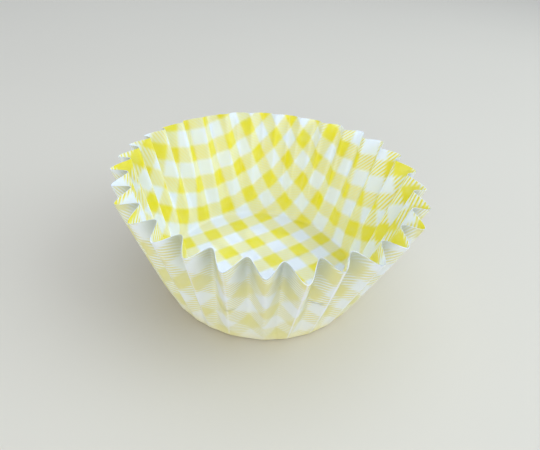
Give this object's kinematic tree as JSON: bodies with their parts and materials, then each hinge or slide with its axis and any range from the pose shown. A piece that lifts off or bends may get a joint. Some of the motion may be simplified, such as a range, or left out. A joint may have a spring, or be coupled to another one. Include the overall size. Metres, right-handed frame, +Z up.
{
  "type": "pleated food cup",
  "caption": "Round pleated food cup pressed from one thin printed sheet, with a flat floor and a flaring fluted wall, for portioning food in a lunch box.",
  "frame": {"origin": "centre of the flat underside of the floor", "axes": "+Z up through the open mouth, -Y towards the front of the cup, +X to its right"},
  "size_m": [0.0735, 0.0738, 0.0302],
  "materials": {
    "printed_sheet": "satin"
  },
  "bodies": {
    "root": {"pleated_cup": "printed_sheet"}
  },
  "joints": []
}
